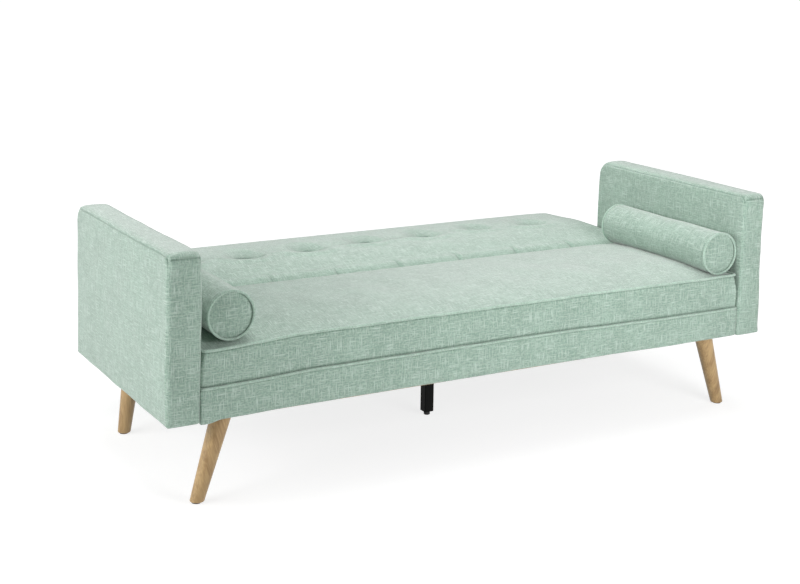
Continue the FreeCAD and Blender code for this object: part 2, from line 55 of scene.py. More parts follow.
ahead = Vector((-math.sin(camera_yaw) * math.cos(camera_pitch),
                math.cos(camera_yaw) * math.cos(camera_pitch), -math.sin(camera_pitch)))
level = Vector((math.cos(camera_yaw), math.sin(camera_yaw), 0))
above = level.cross(ahead)
right = math.cos(camera_roll) * level + math.sin(camera_roll) * above
upward = -math.sin(camera_roll) * level + math.cos(camera_roll) * above
bpy.ops.object.camera_add()
camera = bpy.context.object
camera.name = "camera"
camera.data.sensor_width = 36
camera.data.lens = 36 * focal_pixels / photo_width
camera.data.shift_y = shift_pixels / photo_width
turned = Matrix((right, upward, -ahead)).transposed().to_4x4()
camera.matrix_world = Matrix.Translation(camera_place) @ turned
bpy.context.scene.camera = camera


# Studio floor. White paper. Camera and glossy rays see it a little overexposed, so that only the
# shadows near the feet show, and quite white further off. All other rays see plain white paper.
paper_white = 0.80
paper_seen = 0.32
near_glow = 0.80
far_glow = 1.0
glow_starts = 1.7
glow_full = 3.2
floor_size = 60
floor_drop = 0.0005

bpy.ops.mesh.primitive_plane_add(size=floor_size, location=(0, 0, -floor_drop))
floor = bpy.context.object
floor.name = "studio_floor"
paper = bpy.data.materials.new("studio_paper")
paper.use_nodes = True
nodes, links = paper.node_tree.nodes, paper.node_tree.links
nodes.clear()
output = nodes.new("ShaderNodeOutputMaterial")
ground = nodes.new("ShaderNodeBsdfDiffuse")
ground.inputs["Color"].default_value = (paper_white, paper_white, paper_white, 1)
dimmer = nodes.new("ShaderNodeBsdfDiffuse")
dimmer.inputs["Color"].default_value = (paper_seen, paper_seen, paper_seen, 1)
glow = nodes.new("ShaderNodeEmission")
place = nodes.new("ShaderNodeTexCoord")
away = nodes.new("ShaderNodeVectorMath")
away.operation = "LENGTH"
fade = nodes.new("ShaderNodeMapRange")
fade.inputs["From Min"].default_value = glow_starts
fade.inputs["From Max"].default_value = glow_full
fade.inputs["To Min"].default_value = near_glow
fade.inputs["To Max"].default_value = far_glow
links.new(place.outputs["Object"], away.inputs[0])
links.new(away.outputs["Value"], fade.inputs["Value"])
links.new(fade.outputs[0], glow.inputs["Strength"])
lit = nodes.new("ShaderNodeAddShader")
ray = nodes.new("ShaderNodeLightPath")
seen = nodes.new("ShaderNodeMath")
seen.operation = "MAXIMUM"
which = nodes.new("ShaderNodeMixShader")
links.new(ray.outputs["Is Camera Ray"], seen.inputs[0])
links.new(ray.outputs["Is Glossy Ray"], seen.inputs[1])
links.new(dimmer.outputs[0], lit.inputs[0])
links.new(glow.outputs[0], lit.inputs[1])
links.new(seen.outputs[0], which.inputs["Fac"])
links.new(ground.outputs[0], which.inputs[1])
links.new(lit.outputs[0], which.inputs[2])
links.new(which.outputs[0], output.inputs["Surface"])
floor.data.materials.append(paper)


# Studio light. A wide soft box overhead, one large and one small on the left, a weak one on the
# right, and one in front of the right half, which is why the front grows paler towards that end.
world_light = 0.13
soft_boxes = {
    "overhead_box": ((0.2, 0.6, 3.0), (0, 0, 0.3), (3.4, 2.2), 85),
    "left_box": ((-3.6, 0.4, 1.5), (0, 0, 0.4), (2.0, 1.8), 53),
    "left_front_box": ((-3.0, -0.9, 1.2), (0, 0, 0.4), (0.8, 0.6), 21),
    "right_box": ((3.6, 0.3, 1.5), (0, 0, 0.4), (2.0, 1.8), 14),
    "front_box": ((0.45, -2.1, 0.9), (0.45, 0, 0.35), (1.0, 0.8), 23),
}

world = bpy.data.worlds.new("studio")
bpy.context.scene.world = world
world.use_nodes = True
nodes, links = world.node_tree.nodes, world.node_tree.links
nodes.clear()
output = nodes.new("ShaderNodeOutputWorld")
backdrop = nodes.new("ShaderNodeBackground")
backdrop.inputs["Color"].default_value = (1, 1, 1, 1)
ray = nodes.new("ShaderNodeLightPath")
seen = nodes.new("ShaderNodeMath")
seen.operation = "MAXIMUM"
level_mix = nodes.new("ShaderNodeMapRange")
level_mix.inputs["To Min"].default_value = world_light
level_mix.inputs["To Max"].default_value = 1.0
links.new(ray.outputs["Is Camera Ray"], seen.inputs[0])
links.new(ray.outputs["Is Transmission Ray"], seen.inputs[1])
links.new(seen.outputs[0], level_mix.inputs["Value"])
links.new(level_mix.outputs[0], backdrop.inputs["Strength"])
links.new(backdrop.outputs[0], output.inputs["Surface"])

for name, (place, aim, size, power) in soft_boxes.items():
    bpy.ops.object.light_add(type="AREA", location=place)
    lamp = bpy.context.object
    lamp.name = name
    lamp.data.shape = "RECTANGLE"
    lamp.data.size, lamp.data.size_y = size
    lamp.data.energy = power
    lamp.visible_camera = False
    lamp.rotation_euler = (Vector(aim) - Vector(place)).to_track_quat("-Z", "Y").to_euler()
view = bpy.context.scene.view_settings
view.view_transform = "Standard"


# Mint linen, the cloth of the whole sofa: a plain weave of heathered yarn with pale slubs along
# both thread directions. It reads the weave UV map, which every cloth piece has in metres.
# Grains are counted for each metre, along a thread and across it.
linen_mid = (0.338, 0.466, 0.386)
linen_pale = (0.520, 0.640, 0.565)
linen_deep = (0.225, 0.345, 0.272)
# Painted shade: the colour that seams, creases and tuft pockets are darkened towards.
crease_shade = (0.055, 0.118, 0.080)
linen_sheen = 0.6
linen_sheen_tint = (1.0, 0.92, 0.97, 1)
slub_grains = (26, 470)
thin_grains = (34, 560)
heather_grains = (190, 190)
cloud_grains = (10, 10)


def math_node(tree, operation, first, second):
    node = tree.nodes.new("ShaderNodeMath")
    node.operation = operation
    for socket, value in ((node.inputs[0], first), (node.inputs[1], second)):
        if isinstance(value, (int, float)):
            socket.default_value = value
        else:
            tree.links.new(value, socket)
    return node.outputs[0]


def stretched_noise(tree, where, scale, detail=2.0):
    """Noise with its grains stretched along one thread direction. scale is grains a metre."""
    mapping = tree.nodes.new("ShaderNodeMapping")
    mapping.inputs["Scale"].default_value = (*scale, 1) if len(scale) == 2 else scale
    noise = tree.nodes.new("ShaderNodeTexNoise")
    noise.inputs["Scale"].default_value = 1.0
    noise.inputs["Detail"].default_value = detail
    tree.links.new(where, mapping.inputs["Vector"])
    tree.links.new(mapping.outputs["Vector"], noise.inputs["Vector"])
    return noise.outputs["Fac"]


def only_above(tree, value, low, high):
    """Nothing below low, rising to 1 at high."""
    node = tree.nodes.new("ShaderNodeMapRange")
    node.interpolation_type = "SMOOTHSTEP"
    node.inputs["From Min"].default_value = low
    node.inputs["From Max"].default_value = high
    tree.links.new(value, node.inputs["Value"])
    return node.outputs["Result"]


def colour_mix(tree, amount, first, second):
    node = tree.nodes.new("ShaderNodeMix")
    node.data_type = "RGBA"
    tree.links.new(amount, node.inputs["Factor"])
    for socket, colour in ((node.inputs["A"], first), (node.inputs["B"], second)):
        if isinstance(colour, tuple):
            socket.default_value = (*colour, 1)
        else:
            tree.links.new(colour, socket)
    return node.outputs["Result"]


def woven_cloth(name, mid, pale, deep, sheen, sheen_tint):
    cloth = bpy.data.materials.new(name)
    cloth.use_nodes = True
    tree = cloth.node_tree
    shader = tree.nodes["Principled BSDF"]
    weave = tree.nodes.new("ShaderNodeUVMap")
    weave.uv_map = "weave"
    where = weave.outputs["UV"]
    weft = stretched_noise(tree, where, slub_grains)
    warp = stretched_noise(tree, where, slub_grains[::-1])
    slubs = math_node(tree, "MAXIMUM", only_above(tree, weft, 0.53, 0.68),
                      only_above(tree, warp, 0.53, 0.68))
    thin = math_node(tree, "MAXIMUM",
                     only_above(tree, stretched_noise(tree, where, thin_grains[::-1]), 0.50, 0.68),
                     only_above(tree, stretched_noise(tree, where, thin_grains), 0.50, 0.68))
    heather = stretched_noise(tree, where, heather_grains)
    cloudy = stretched_noise(tree, where, cloud_grains)
    mottle = math_node(tree, "ADD", math_node(tree, "MULTIPLY", heather, 0.75),
                       math_node(tree, "MULTIPLY", cloudy, 0.25))
    ground = colour_mix(tree, only_above(tree, mottle, 0.38, 0.62),
                        tuple(0.82 * m for m in mid), tuple(1.15 * m for m in mid))
    darker = colour_mix(tree, math_node(tree, "MULTIPLY", thin, 0.75), ground, deep)
    heathered = colour_mix(tree, math_node(tree, "MULTIPLY", slubs, 0.92), darker, pale)
    # The seam attribute paints shade into the colour, darkening it in seams, creases and tuft pockets.
    seam = tree.nodes.new("ShaderNodeAttribute")
    seam.attribute_name = "seam"
    sewn_and_shaded = colour_mix(tree, seam.outputs["Fac"], heathered, crease_shade)
    tree.links.new(sewn_and_shaded, shader.inputs["Base Color"])
    shader.inputs["Roughness"].default_value = 0.95
    shader.inputs["Specular IOR Level"].default_value = 0.10
    shader.inputs["Sheen Weight"].default_value = sheen
    shader.inputs["Sheen Roughness"].default_value = 0.5
    shader.inputs["Sheen Tint"].default_value = sheen_tint
    bump = tree.nodes.new("ShaderNodeBump")
    bump.inputs["Strength"].default_value = 0.35
    bump.inputs["Distance"].default_value = 0.0007
    tree.links.new(math_node(tree, "SUBTRACT", slubs, thin), bump.inputs["Height"])
    tree.links.new(bump.outputs["Normal"], shader.inputs["Normal"])
    return cloth


linen = woven_cloth("mint_linen", linen_mid, linen_pale, linen_deep, linen_sheen, linen_sheen_tint)


def points_of(piece):
    place = np.empty(len(piece.data.vertices) * 3)
    piece.data.vertices.foreach_get("co", place)
    return place.reshape(-1, 3)


def move_points(piece, place):
    piece.data.vertices.foreach_set("co", np.ascontiguousarray(place, dtype=float).ravel())
    piece.data.update()


def lay_weave(piece, threads=None):
    """The cloth's UV map in metres: flat, as each face looks, or laid by threads."""
    mesh = piece.data
    place = points_of(piece)
    corner_point = np.empty(len(mesh.loops), int)
    mesh.loops.foreach_get("vertex_index", corner_point)
    corner_face = np.repeat(np.arange(len(mesh.polygons)), [len(p.vertices) for p in mesh.polygons])
    facing = np.array([p.normal for p in mesh.polygons])[corner_face]
    at = place[corner_point]
    side = np.abs(facing).argmax(axis=1)
    u = np.where(side == 0, at[:, 1], at[:, 0])
    v = np.where(side == 2, at[:, 1], at[:, 2])
    if threads is not None:
        u, v = threads(at, facing, u, v)
    layer = mesh.uv_layers.get("weave") or mesh.uv_layers.new(name="weave")
    layer.data.foreach_set("uv", np.stack([u, v], axis=1).astype(np.float32).ravel())


def paint_crease_shade(piece, strength):
    """Paints shade into the cloth's colour in seams, creases and tuft pockets, where little light
    reaches.
    """
    layer = piece.data.attributes.get("seam") or piece.data.attributes.new("seam", "FLOAT", "POINT")
    layer.data.foreach_set("value", np.clip(strength, 0, 1).astype(np.float32))


def start_piece():
    """Nothing stays selected from the piece before."""
    if bpy.context.object and bpy.context.object.mode == "EDIT":
        bpy.ops.object.mode_set(mode="OBJECT")
    bpy.ops.object.select_all(action="DESELECT")


def finish_cloth(piece, name, body, replaced, angle=50, threads=None, cloth=linen):
    piece.name = name
    piece.data.name = name
    lay_weave(piece, threads)
    piece.data.materials.clear()
    piece.data.materials.append(cloth)
    bpy.ops.object.select_all(action="DESELECT")
    piece.select_set(True)
    bpy.context.view_layer.objects.active = piece
    bpy.ops.object.shade_smooth_by_angle(angle=math.radians(angle))
    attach(piece, body)
    if replaced:
        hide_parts(*replaced)


def soft_waves(place, size, height, seed):
    """A few long shallow waves, as hand-laid wadding leaves under a cover."""
    dice = np.random.default_rng(seed)
    total = np.zeros(len(place))
    for _ in range(9):
        heading = dice.normal(size=3)
        heading /= np.linalg.norm(heading)
        pitch = size * dice.uniform(0.7, 1.6)
        total += np.sin(place @ heading * (2 * math.pi / pitch) + dice.uniform(0, 2 * math.pi))
    return total * height / 3


def smooth_step(t):
    t = np.clip(t, 0, 1)
    return t * t * (3 - 2 * t)


# Arms. Plywood boxes under thin foam, covered in two side panels, a strip that runs over the top
# and round both top corners, and a front and a rear strip that meet it in a cross seam.
arm_inside = 0.843
arm_outside = 0.930
arm_middle = (arm_inside + arm_outside) / 2
arm_front = -0.495
arm_rear = 0.195
arm_lean = 0.020
arm_undercut = 0.005
arm_underside = 0.220
arm_top = 0.637
front_corner = 0.017
rear_corner = 0.034
arm_foot_corner = 0.005
arris_round = 0.0075
upright_round = 0.013
inner_bulge = 0.0040
front_lean = 0.0055
right_lean_share = 1.3
seam_depth = 0.0018
seam_width = 0.0017
top_crown = 0.0075
face_crown = 0.0020
panel_crown = 0.0018
cross_seam_z = 0.627


def arm_outline(y, z):
    """How far inside the arm's outline a point is, and which way is inwards there."""
    down = (arm_top - z) / (arm_top - arm_underside)
    gaps = np.stack([y - (arm_front + arm_undercut * down), (arm_rear + arm_lean * down) - y,
                     arm_top - z, z - arm_underside])
    nearest = gaps.argmin(axis=0)
    depth = gaps.min(axis=0)
    inward_y = np.select([nearest == 0, nearest == 1], [1.0, -1.0], 0.0)
    inward_z = np.select([nearest == 2, nearest == 3], [-1.0, 1.0], 0.0)
    for side, corner in ((-1, front_corner), (1, rear_corner)):
        hub_y = arm_front + corner if side < 0 else arm_rear - corner
        dy, dz = y - hub_y, z - (arm_top - corner)
        reach = np.hypot(dy, dz) + 1e-9
        here = (side * dy > 0) & (dz > 0)
        depth = np.where(here, corner - reach, depth)
        inward_y = np.where(here, -dy / reach, inward_y)
        inward_z = np.where(here, -dz / reach, inward_z)
    return depth, inward_y, inward_z


def select_edges(piece, wanted):
    """Leaves the piece in edit mode with only the edges between such points selected."""
    bpy.ops.object.mode_set(mode="EDIT")
    bpy.ops.mesh.select_mode(type="EDGE")
    bpy.ops.mesh.select_all(action="DESELECT")
    bpy.ops.object.mode_set(mode="OBJECT")
    for edge in piece.data.edges:
        a, b = (piece.data.vertices[i].co for i in edge.vertices)
        edge.select = bool(wanted(a, b))
    bpy.ops.object.mode_set(mode="EDIT")


def cut_across(axis, places):
    """Cuts the piece that is being edited at these places along an axis."""
    normal = [float(i == axis) for i in range(3)]
    for place in places:
        bpy.ops.mesh.select_all(action="SELECT")
        bpy.ops.mesh.bisect(plane_co=[n * place for n in normal], plane_no=normal)


def make_arm(side):
    start_piece()
    bpy.ops.mesh.primitive_cube_add(size=1, location=(0, 0, 0))
    arm = bpy.context.object
    corners = points_of(arm)
    low = corners[:, 2] < 0
    rear = corners[:, 1] > 0
    place = np.empty_like(corners)
    place[:, 0] = np.where(corners[:, 0] > 0, arm_outside, arm_inside)
    place[:, 1] = np.where(rear, arm_rear + arm_lean * low, arm_front + arm_undercut * low)
    place[:, 2] = np.where(low, arm_underside, arm_top)
    move_points(arm, place)
    for side_y, corner in ((arm_front, front_corner), (arm_rear, rear_corner)):
        select_edges(arm, lambda a, b: abs(a.x - b.x) > 0.05 and a.z > arm_top - 0.01 and
                     abs(a.y - side_y) < 0.001)
        bpy.ops.mesh.bevel(offset=corner, segments=8, affect="EDGES")
    select_edges(arm, lambda a, b: abs(a.x - b.x) > 0.05 and max(a.z, b.z) < arm_underside + 0.01)
    bpy.ops.mesh.bevel(offset=arm_foot_corner, segments=3, affect="EDGES")
    select_edges(arm, lambda a, b: abs(a.x - b.x) < 1e-5)
    bpy.ops.mesh.bevel(offset=arris_round, segments=4, affect="EDGES")
    cut_across(2, np.linspace(arm_underside + 0.016, arm_top - rear_corner - 0.004, 15))
    cut_across(1, np.linspace(arm_front + front_corner + 0.004, arm_rear - rear_corner - 0.004, 27))
    cut_across(0, np.linspace(arm_inside + arris_round + 0.012, arm_outside - arris_round - 0.012, 4))
    bpy.ops.object.mode_set(mode="OBJECT")
    finer = arm.modifiers.new("finer", "SUBSURF")
    finer.levels = finer.render_levels = 2
    bpy.ops.object.modifier_apply(modifier="finer")

    place = points_of(arm)
    x, y, z = place.T
    off_middle = np.abs(x - arm_middle)
    half = (arm_outside - arm_inside) / 2
    from_wall = half - off_middle
    toward = np.sign(arm_middle - x)
    from_strip, inward_y, inward_z = arm_outline(y, z)
    on_strip = smooth_step((0.006 - from_strip) / 0.006)
    on_panel = smooth_step((0.006 - from_wall) / 0.006)
    upper = smooth_step((z - 0.585) / 0.03)
    foot = smooth_step((z - arm_underside - 0.004) / 0.02)
    sewn_and_shaded = (0.10 + 0.90 * smooth_step((z - 0.612) / 0.010)) * foot
    across_seam = (from_wall - from_strip) / math.sqrt(2)
    near_arris = np.maximum(from_wall, from_strip) < 0.010
    fold = np.exp(-(across_seam / seam_width) ** 2) * near_arris
    pull = seam_depth * sewn_and_shaded * fold / math.sqrt(2)
    crown = (face_crown + (top_crown - face_crown) * upper) * foot
    swell = crown * (1 - (off_middle / half) ** 4) * on_strip
    into_wall = np.maximum(upright_round - from_wall, 0)
    into_strip = np.maximum(upright_round - from_strip, 0)
    reach = np.hypot(into_wall, into_strip) + 1e-9
    beyond = np.maximum(reach - upright_round, 0) * (x > arm_middle)
    beyond *= smooth_step((np.abs(inward_y) - 0.15) / 0.6) * foot
    bulge = inner_bulge * on_panel * (x < arm_middle) * smooth_step((z - 0.42) / 0.14) * smooth_step(
        (y + 0.42) / 0.3)
    along = np.clip((y - arm_front) / (arm_rear - arm_front), 0, 1)
    up = np.clip((z - arm_underside) / (arm_top - arm_underside), 0, 1)
    fullness = (1 - (2 * along - 1) ** 6) * (1 - (2 * up - 1) ** 6)
    level = np.exp(-((z - cross_seam_z) / seam_width) ** 2) * on_strip * (np.abs(inward_y) > 0.3)
    level *= smooth_step((from_wall - 0.004) / 0.004)
    inward = pull - swell + 0.0014 * level + beyond * into_strip / reach
    place[:, 0] += toward * (pull - bulge - panel_crown * fullness * on_panel +
                             beyond * into_wall / reach)
    place[:, 1] += inward_y * inward
    place[:, 2] += inward_z * inward
    place[:, 0] += soft_waves(place, 0.12, 0.0006, 11 + side)
    place[:, 1] += soft_waves(place, 0.10, 0.0004, 13 + side)
    lean = front_lean * smooth_step((z - 0.27) / 0.25) * smooth_step((-0.15 - y) / 0.3)
    outer_wall = smooth_step((x - arm_inside) / 0.08)
    # On the left the front's whole upper part leans in, and on the right only its outer wall.
    place[:, 0] -= lean if side < 0 else right_lean_share * lean * outer_wall
    place[:, 0] *= side
    move_points(arm, place)
    if side < 0:
        arm.data.flip_normals()
    # The arris seams and the cross seam are painted darker: painted shade in their folds.
    paint_crease_shade(arm, 0.45 * np.maximum(sewn_and_shaded * np.exp(-(across_seam / 0.0013) ** 2) * near_arris, level))
    name = "right" if side > 0 else "left"
    finish_cloth(arm, "arm_upholstery_" + name, "base", ["arm_cover_" + name])


for side in (1, -1):
    make_arm(side)


# Front and rear bands. Linen over thin wadding on the rails, folded under and stapled.
# The front one's top follows the seat's lower seam, and its left end hangs a little lower.
band_face = -0.486
band_back = -0.468
band_underside = 0.220
band_top = 0.3035
rear_band_front = 0.177
rear_band_face = 0.195
rear_band_top = 0.301
tuck_under = 0.0030


def welt_line(x):
    """The upper seam sags a little towards both arms, more at the left."""
    return 0.4055 - 0.0120 * smooth_step((-x - 0.56) / 0.26) - 0.0025 * smooth_step((x - 0.3) / 0.4)


def seam_line(x):
    return 0.3150 - 0.0090 * smooth_step((-x - 0.50) / 0.31) - 0.0080 * smooth_step((x - 0.1) / 0.6)


def make_band(name, y0, y1, z1, node, droop, follow):
    start_piece()
    bpy.ops.mesh.primitive_cube_add(size=1, location=(0, 0, 0))
    band = bpy.context.object
    corners = points_of(band)
    place = np.empty_like(corners)
    place[:, 0] = np.sign(corners[:, 0]) * (arm_inside - 0.0005)
    place[:, 1] = np.where(corners[:, 1] > 0, y1, y0)
    place[:, 2] = np.where(corners[:, 2] > 0, z1, band_underside)
    move_points(band, place)
    bpy.ops.object.mode_set(mode="EDIT")
    bpy.ops.mesh.select_mode(type="EDGE")
    bpy.ops.mesh.select_all(action="SELECT")
    bpy.ops.mesh.bevel(offset=0.005, segments=3, affect="EDGES")
    cut_across(0, np.linspace(-0.83, 0.83, 84))
    cut_across(2, np.r_[np.linspace(band_underside + 0.012, z1 - 0.012, 6), z1 - 0.0075, z1 - 0.0060])
    bpy.ops.object.mode_set(mode="OBJECT")
    finer = band.modifiers.new("finer", "SUBSURF")
    finer.levels = finer.render_levels = 1
    bpy.ops.object.modifier_apply(modifier="finer")
    place = points_of(band)
    x, y, z = place.T
    up = np.clip((z - band_underside) / (z1 - band_underside), 0, 1)
    face = smooth_step((y1 - y) / (y1 - y0)) if y0 < 0 else smooth_step((y - y0) / (y1 - y0))
    out = -1 if y0 < 0 else 1
    place[:, 1] += out * face * (0.0015 * np.sin(math.pi * up) + soft_waves(place, 0.10, 0.0006, 21))
    hang = droop * smooth_step((-x - 0.785) / 0.035) * (1 - up) ** 2
    place[:, 2] += -hang + (1 - up) * soft_waves(place * [1, 0, 0], 0.16, 0.0005, 22)
    place[:, 2] += follow * up * (seam_line(x) - tuck_under - z1)
    place[:, 2] += follow * (1 - up) * 0.0035 * smooth_step((0.75 - np.abs(x + 0.1)) / 0.3)
    move_points(band, place)
    # Just under its top the band is painted darker: painted shade under the seat's lower seam and cord.
    below_top = follow * (seam_line(x) - tuck_under) + (1 - follow) * z1 - place[:, 2]
    paint_crease_shade(band, 0.30 * face * follow * np.exp(-((below_top - 0.0042) / 0.0018) ** 2))
    finish_cloth(band, name, "base", [node])


make_band("front_band_cloth", band_face, band_back, band_top, "front_band", 0.006, 1)
make_band("rear_band_cloth", rear_band_front, rear_band_face, rear_band_top, "rear_band", 0.0, 0)


# Seat cushion. One long foam cushion in a boxed cover: a crowned top, a front border that
# swells between two piped seams, and a rolled rear edge beside the back's round nose.
seat_half = 0.841
seat_face = -0.486
seat_rear = 0.012
seat_top = 0.431
seat_bottom = 0.306
bolster_radius = 0.0625
bolster_height = 0.471
bolster_places = {"right": (0.7799, -0.472), "left": (-0.752, -0.466)}
bolster_length = 0.486
border_end = 0.094
seat_top_end = 0.554
seat_roll_end = 0.612
seat_cloth_end = 0.684
seat_top_run = 0.460
seat_roll_run = 0.058
seat_rear_run = 0.072
seat_roll_start = -0.022
seat_roll_reach = 0.034
seat_roll_drop = 0.040
ridge_y = -0.257
ridge_to_rear = 0.235


def cloth_sheet(name, rows, columns):
    """A flat cloth with this many rows of faces from front to back, to be laid over a cushion."""
    start_piece()
    bpy.ops.mesh.primitive_grid_add(x_subdivisions=columns, y_subdivisions=rows, size=1)
    sheet = bpy.context.object
    sheet.name = name
    flat = points_of(sheet)
    return sheet, flat[:, 0] + 0.5, flat[:, 1] + 0.5


def close_cover(piece, rings):
    """Sews the first row to the last, and closes both ends with rings that shrink to a face."""
    mesh = piece.data
    place = points_of(piece)
    low, high = place.min(axis=0), place.max(axis=0)
    centre = (low + high) / 2
    for end in (0, -1, 1):
        bpy.ops.object.mode_set(mode="EDIT")
        bpy.ops.mesh.select_mode(type="EDGE")
        bpy.ops.mesh.select_all(action="DESELECT")
        bpy.ops.mesh.select_non_manifold()
        bpy.ops.object.mode_set(mode="OBJECT")
        for edge in mesh.edges:
            a, b = (mesh.vertices[i].co for i in edge.vertices)
            if end == 0:
                edge.select = edge.select and abs(a.x - b.x) > 1e-4 + abs(a.y - b.y) + abs(a.z - b.z)
            else:
                edge.select = edge.select and end * (a.x + b.x) > 0
        bpy.ops.object.mode_set(mode="EDIT")
        if end == 0:
            bpy.ops.mesh.bridge_edge_loops()
            continue
        size = (high - low) / 2
        for step, outward in rings:
            bpy.ops.mesh.extrude_edges_move(TRANSFORM_OT_translate={"value": (end * outward, 0, 0)})
            bpy.ops.transform.resize(value=(1, 1 - step / size[1], 1 - step / size[2]),
                                     center_override=(0, centre[1], centre[2]))
            size = size - step
        bpy.ops.mesh.edge_face_add()
    bpy.ops.mesh.select_all(action="SELECT")
    bpy.ops.mesh.normals_make_consistent(inside=False)
    bpy.ops.object.mode_set(mode="OBJECT")


def along_steps(*runs):
    """Row places from (start, end, count) runs that share their ends."""
    places = [np.linspace(a, b, n, endpoint=False) for a, b, n in runs]
    return np.concatenate(places + [[runs[-1][1]]])


def seat_crown_at(x):
    from_end = np.maximum(seat_half - np.abs(x), 0)
    return 0.004 + (seat_top - welt_line(x) - 0.004) * (1 - np.exp(-from_end / 0.055))


seat_rows = along_steps((0, 0.012, 9), (0.012, 0.082, 12), (0.082, border_end, 9),
                        (border_end, 0.110, 8), (0.110, 0.540, 84), (0.540, seat_top_end, 3),
                        (seat_top_end, seat_roll_end, 14), (seat_roll_end, seat_cloth_end, 10))
seat_columns = 330
seat, across, row = cloth_sheet("seat_cover", len(seat_rows) - 1, seat_columns)
run = seat_rows[np.round(row * (len(seat_rows) - 1)).astype(int)]
x = (2 * across - 1) * seat_half
crown = seat_crown_at(x)
welt, seam = welt_line(x), seam_line(x)
up = np.clip(run / border_end, 0, 1)
over = np.clip((run - border_end) / seat_top_run, 0, 1)
turn = np.clip((run - seat_top_end) / seat_roll_run, 0, 1) * math.pi / 2
down = np.clip((run - seat_roll_end) / seat_rear_run, 0, 1)
on_face = run <= border_end
on_top = (run > border_end) & (run <= seat_top_end)
on_roll = (run > seat_top_end) & (run <= seat_roll_end)
front_y = seat_face + 0.004
y_top = front_y + seat_top_run * over
rise = np.where(y_top < ridge_y, 1 - np.abs((y_top - ridge_y) / (front_y - ridge_y)) ** 2.3,
                1 - 0.45 * np.abs((y_top - ridge_y) / ridge_to_rear) ** 2)
shoulder = welt + 0.55 * crown
y = np.select([on_face, on_top, on_roll],
              [seat_face + 0.0024 * (2 * up - 1) ** 2, y_top,
               seat_roll_start + seat_roll_reach * np.sin(turn)], seat_rear)
z = np.select([on_face, on_top, on_roll],
              [seam + (welt - seam) * up, welt + crown * rise,
               shoulder - seat_roll_drop * (1 - np.cos(turn))],
              (shoulder - seat_roll_drop) + (seat_bottom - shoulder + seat_roll_drop) * down)
seam_gap = np.minimum(np.abs(run - border_end), run)
tucked = 0.0030 * np.exp(-(seam_gap / 0.0050) ** 2)
y += np.where(on_face, tucked * np.where(run < 0.05, 0.25, 0.9), 0)
z -= np.where(on_top, tucked * 0.8, 0)
from_end = seat_half - np.abs(x)
end_draw = 0.009 * smooth_step((z - 0.352) / 0.05) * smooth_step((0.03 - from_end) / 0.03)
corner = 0.007
into_corner = np.clip(corner - from_end, 0, corner)
y += (corner - np.sqrt(np.maximum(corner ** 2 - into_corner ** 2, 0))) * smooth_step((-0.40 - y) / 0.06)
x = x - np.sign(x) * end_draw
place = np.stack([x, y, z], axis=1)
for name, (axis_x, start_y) in bolster_places.items():
    off = np.abs(place[:, 0] - axis_x)
    hollow = bolster_height - np.sqrt(np.maximum((bolster_radius + 0.0006) ** 2 - off ** 2, 1e-6))
    inside = (off < bolster_radius) & (place[:, 1] > start_y - 0.012) & (place[:, 1] < 0.03)
    place[:, 2] = np.where(inside, np.minimum(place[:, 2], hollow), place[:, 2])
place[:, 2] += np.where(on_top, soft_waves(place, 0.17, 0.0012, 31), 0) * (over * (1 - over) * 4)
place[:, 1] += np.where(on_face, soft_waves(place, 0.08, 0.0007, 32) * np.sin(math.pi * up), 0)
move_points(seat, place)
# Both seams of the front border are painted darker: painted shade in the seams.
shade = np.where(on_face, np.maximum(np.exp(-((run - 0.0915) / 0.0022) ** 2),
                                     np.exp(-((run - 0.0030) / 0.0022) ** 2)), 0)
close_cover(seat, ((0.003, 0.0008), (0.010, 0.0012), (0.020, 0.0008)))
shade *= np.where(run < 0.05, 0.30, 0.40)
paint_crease_shade(seat, np.r_[shade, np.zeros(len(seat.data.vertices) - len(shade))])
finish_cloth(seat, "seat_cover", "base", ["seat_cushion"])


# Piping. A cord in a bias strip of the same linen, sewn into the seat cover's upper and lower
# seams, along the front and back along both ends. Its linen is painted paler than the rest: a
# painted highlight, so that the cord shows as a pale line.
piping_radius = 0.0035
piping_highlight_linen = woven_cloth("mint_linen_piping_highlight", tuple(1.22 * c for c in linen_mid), linen_pale,
                           linen_mid, linen_sheen, linen_sheen_tint)


def make_piping(name, corner_points, body, radius=piping_radius):
    """A round cord in its strip of linen, through these points."""
    start_piece()
    line = bpy.data.curves.new(name, "CURVE")
    line.dimensions = "3D"
    spline = line.splines.new("POLY")
    spline.points.add(len(corner_points) - 1)
    for point, place in zip(spline.points, corner_points):
        point.co = (*place, 1)
    line.bevel_depth = radius
    line.bevel_resolution = 4
    line.use_fill_caps = True
    piping = bpy.data.objects.new(name, line)
    bpy.context.scene.collection.objects.link(piping)
    piping.select_set(True)
    bpy.context.view_layer.objects.active = piping
    bpy.ops.object.convert(target="MESH")
    piping = bpy.context.object
    finish_cloth(piping, name, body, [], angle=60, cloth=piping_highlight_linen)


def seat_edge_line(height, half, face_y, rear_y, corner):
    """Along one end, round the front corner, along the front, and back along the other end."""
    turnings = np.linspace(0, math.pi / 2, 9)
    right_side = [(half, y) for y in np.linspace(rear_y, face_y + corner, 60)]
    right_corner = [(half - corner + corner * math.cos(a), face_y + corner - corner * math.sin(a))
                    for a in turnings[1:]]
    front_run = [(x, face_y) for x in np.linspace(half - corner, -(half - corner), 180)[1:-1]]
    half_line = right_side + right_corner
    mirrored_line = [(-x, y) for x, y in reversed(half_line)]
    return [(x, y, height(x, y)) for x, y in half_line + front_run + mirrored_line]


def welt_height(x, y):
    wave = 0.0005 * math.sin(x * 23 + 1.1) + 0.0003 * math.sin(x * 51 + 0.4)
    return float(welt_line(x)) + 0.0022 + wave + 0.004 * max(0.0, y + 0.45) / 0.46


def seam_height(x, y):
    level = float(seam_line(x)) - 0.0022 + 0.0003 * math.sin(x * 31)
    return level + (seat_bottom - 0.0022 - level) * smooth_step((y + 0.45) / 0.2)


